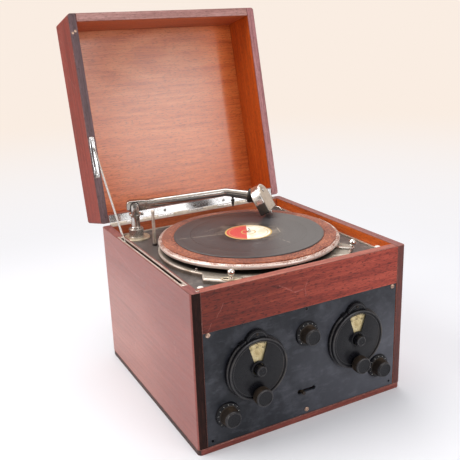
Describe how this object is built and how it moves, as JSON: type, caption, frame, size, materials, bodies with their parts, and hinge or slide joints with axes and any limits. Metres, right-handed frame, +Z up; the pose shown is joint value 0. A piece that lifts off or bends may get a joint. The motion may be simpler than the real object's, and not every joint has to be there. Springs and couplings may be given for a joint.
{
  "type": "radiogram",
  "caption": "Table radiogram: wooden cabinet with a black tuning panel, a turntable with a pick-up arm, and a hinged lid on a sliding stay.",
  "frame": {"origin": "middle of the underside of the bottom board", "axes": "+X to the right seen from the front, -Y towards the front panel, +Z up"},
  "size_m": [0.377, 0.5764, 0.624],
  "materials": {
    "wood_side": "satin varnish",
    "wood_front": "satin varnish",
    "wood_plain": "bare",
    "wood_lid": "satin varnish",
    "board_black": "matt black",
    "nickel": "worn nickel plate",
    "stud_ivory": "polished",
    "steel": "plain",
    "ebonite": "aged satin",
    "brass": "tarnished",
    "bakelite": "aged",
    "celluloid": "yellowed",
    "aluminium": "plain",
    "valve_glass": "silvered",
    "plate_metal": "worn plate",
    "felt": "worn felt",
    "shellac": "grooved"
  },
  "bodies": {
    "cabinet": {"side_left": "wood_side", "side_right": "wood_side", "front_board": "wood_front", "rear_rail": "wood_side", "bottom_board": "wood_side", "board_battens": "wood_plain", "back_panel": "wood_plain", "motor_board": "board_black", "board_edging": "nickel", "lift_knobs": "stud_ivory", "stay_rail": "nickel", "cabinet_leaf": "nickel", "hinge_pin": "steel", "cabinet_screws": "nickel", "control_panel": "ebonite", "panel_screws": "brass", "dial_left": "bakelite", "dial_right": "bakelite", "chassis": "aluminium", "condensers": "aluminium", "potentiometers": "bakelite", "transformer": "steel", "valves": "valve_glass", "terminal_strip": "ebonite", "motor_plate": "plate_metal", "motor": "steel", "arm_base": "nickel", "arm_rest": "nickel"},
    "lid": {"lid_left": "wood_side", "lid_right": "wood_side", "lid_front": "wood_front", "lid_rear": "wood_side", "lid_top_panel": "wood_lid", "lid_leaf": "nickel", "lid_fittings": "nickel"},
    "stay": {"stay_strip": "nickel"},
    "shoe": {"stay_shoe": "steel"},
    "turntable": {"spindle": "nickel", "platter": "nickel", "felt": "felt", "record": "shellac"},
    "speed_control": {"speed_lever": "nickel"},
    "brake_control": {"brake_lever": "nickel"},
    "arm_post": {"arm_pillar": "nickel", "arm_pin": "steel"},
    "arm": {"arm_tube": "nickel", "arm_collar": "ebonite", "pickup_head": "nickel", "pickup_face": "nickel", "needle": "steel"},
    "dial_l": {"scale_left": "celluloid", "hub_left": "bakelite"},
    "dial_r": {"scale_right": "celluloid", "hub_right": "bakelite"},
    "vernier_l": {"vernier_left": "bakelite"},
    "vernier_r": {"vernier_right": "bakelite"},
    "volume_control": {"volume_knob": "bakelite"},
    "left_control": {"left_knob": "bakelite"},
    "right_control": {"right_knob": "bakelite"},
    "switch": {"switch_lever": "bakelite"}
  },
  "joints": [
    {"name": "lid_hinge", "type": "hinge", "parent": "cabinet", "child": "lid", "pos_m": [0, 0.1907, 0.2554], "axis": [1, 0, 0], "range_deg": [0, 103.2]},
    {"name": "stay_pivot", "type": "hinge", "parent": "lid", "child": "stay", "pos_m": [-0.181, 0.2181, 0.39148], "axis": [1, 0, 0], "range_deg": [-151.12, 0]},
    {"name": "shoe_slide", "type": "slide", "parent": "cabinet", "child": "shoe", "axis": [0, 1, 0], "range_m": [-0.22991, 0]},
    {"name": "platter_spin", "type": "hinge", "parent": "cabinet", "child": "turntable", "pos_m": [0, -0.016, 0.256], "axis": [0, 0, 1], "continuous": true},
    {"name": "arm_swing", "type": "hinge", "parent": "cabinet", "child": "arm_post", "pos_m": [-0.14, 0.143, 0.256], "axis": [0, 0, 1], "range_deg": [-15, 17]},
    {"name": "arm_lift", "type": "hinge", "parent": "arm_post", "child": "arm", "pos_m": [-0.14, 0.143, 0.297], "axis": [0.2546, 0.967, 0], "range_deg": [-28, 0]},
    {"name": "dial_left_turn", "type": "hinge", "parent": "cabinet", "child": "dial_l", "pos_m": [-0.09, -0.187, 0.119], "axis": [0, 1, 0], "range_deg": [-90, 90]},
    {"name": "dial_right_turn", "type": "hinge", "parent": "cabinet", "child": "dial_r", "pos_m": [0.09, -0.187, 0.119], "axis": [0, 1, 0], "range_deg": [-90, 90]},
    {"name": "vernier_left_turn", "type": "hinge", "parent": "cabinet", "child": "vernier_l", "pos_m": [-0.09, -0.197, 0.079], "axis": [0, 1, 0], "range_deg": [-540, 540]},
    {"name": "vernier_right_turn", "type": "hinge", "parent": "cabinet", "child": "vernier_r", "pos_m": [0.09, -0.197, 0.079], "axis": [0, 1, 0], "range_deg": [-540, 540]},
    {"name": "volume_turn", "type": "hinge", "parent": "cabinet", "child": "volume_control", "pos_m": [0, -0.187, 0.149], "axis": [0, 1, 0], "range_deg": [-145, 145]},
    {"name": "left_knob_turn", "type": "hinge", "parent": "cabinet", "child": "left_control", "pos_m": [-0.139, -0.187, 0.055], "axis": [0, 1, 0], "range_deg": [-145, 145]},
    {"name": "right_knob_turn", "type": "hinge", "parent": "cabinet", "child": "right_control", "pos_m": [0.139, -0.187, 0.055], "axis": [0, 1, 0], "range_deg": [-145, 145]},
    {"name": "switch_slide", "type": "slide", "parent": "cabinet", "child": "switch", "axis": [1, 0, 0], "range_m": [0, 0.018]},
    {"name": "speed_turn", "type": "hinge", "parent": "cabinet", "child": "speed_control", "pos_m": [-0.07362, -0.10822, 0.2454], "axis": [0, 0, 1], "range_deg": [-12, 2]},
    {"name": "brake_turn", "type": "hinge", "parent": "cabinet", "child": "brake_control", "pos_m": [0.08517, -0.09767, 0.2454], "axis": [0, 0, 1], "range_deg": [-10, 4]}
  ],
  "couplings": [
    {"joint": "stay_pivot", "follows": "lid_hinge", "ratio": -1.4643},
    {"joint": "shoe_slide", "follows": "lid_hinge", "m_per_rad": -0.12764},
    {"joint": "vernier_left_turn", "follows": "dial_left_turn", "ratio": -6},
    {"joint": "vernier_right_turn", "follows": "dial_right_turn", "ratio": -6}
  ]
}
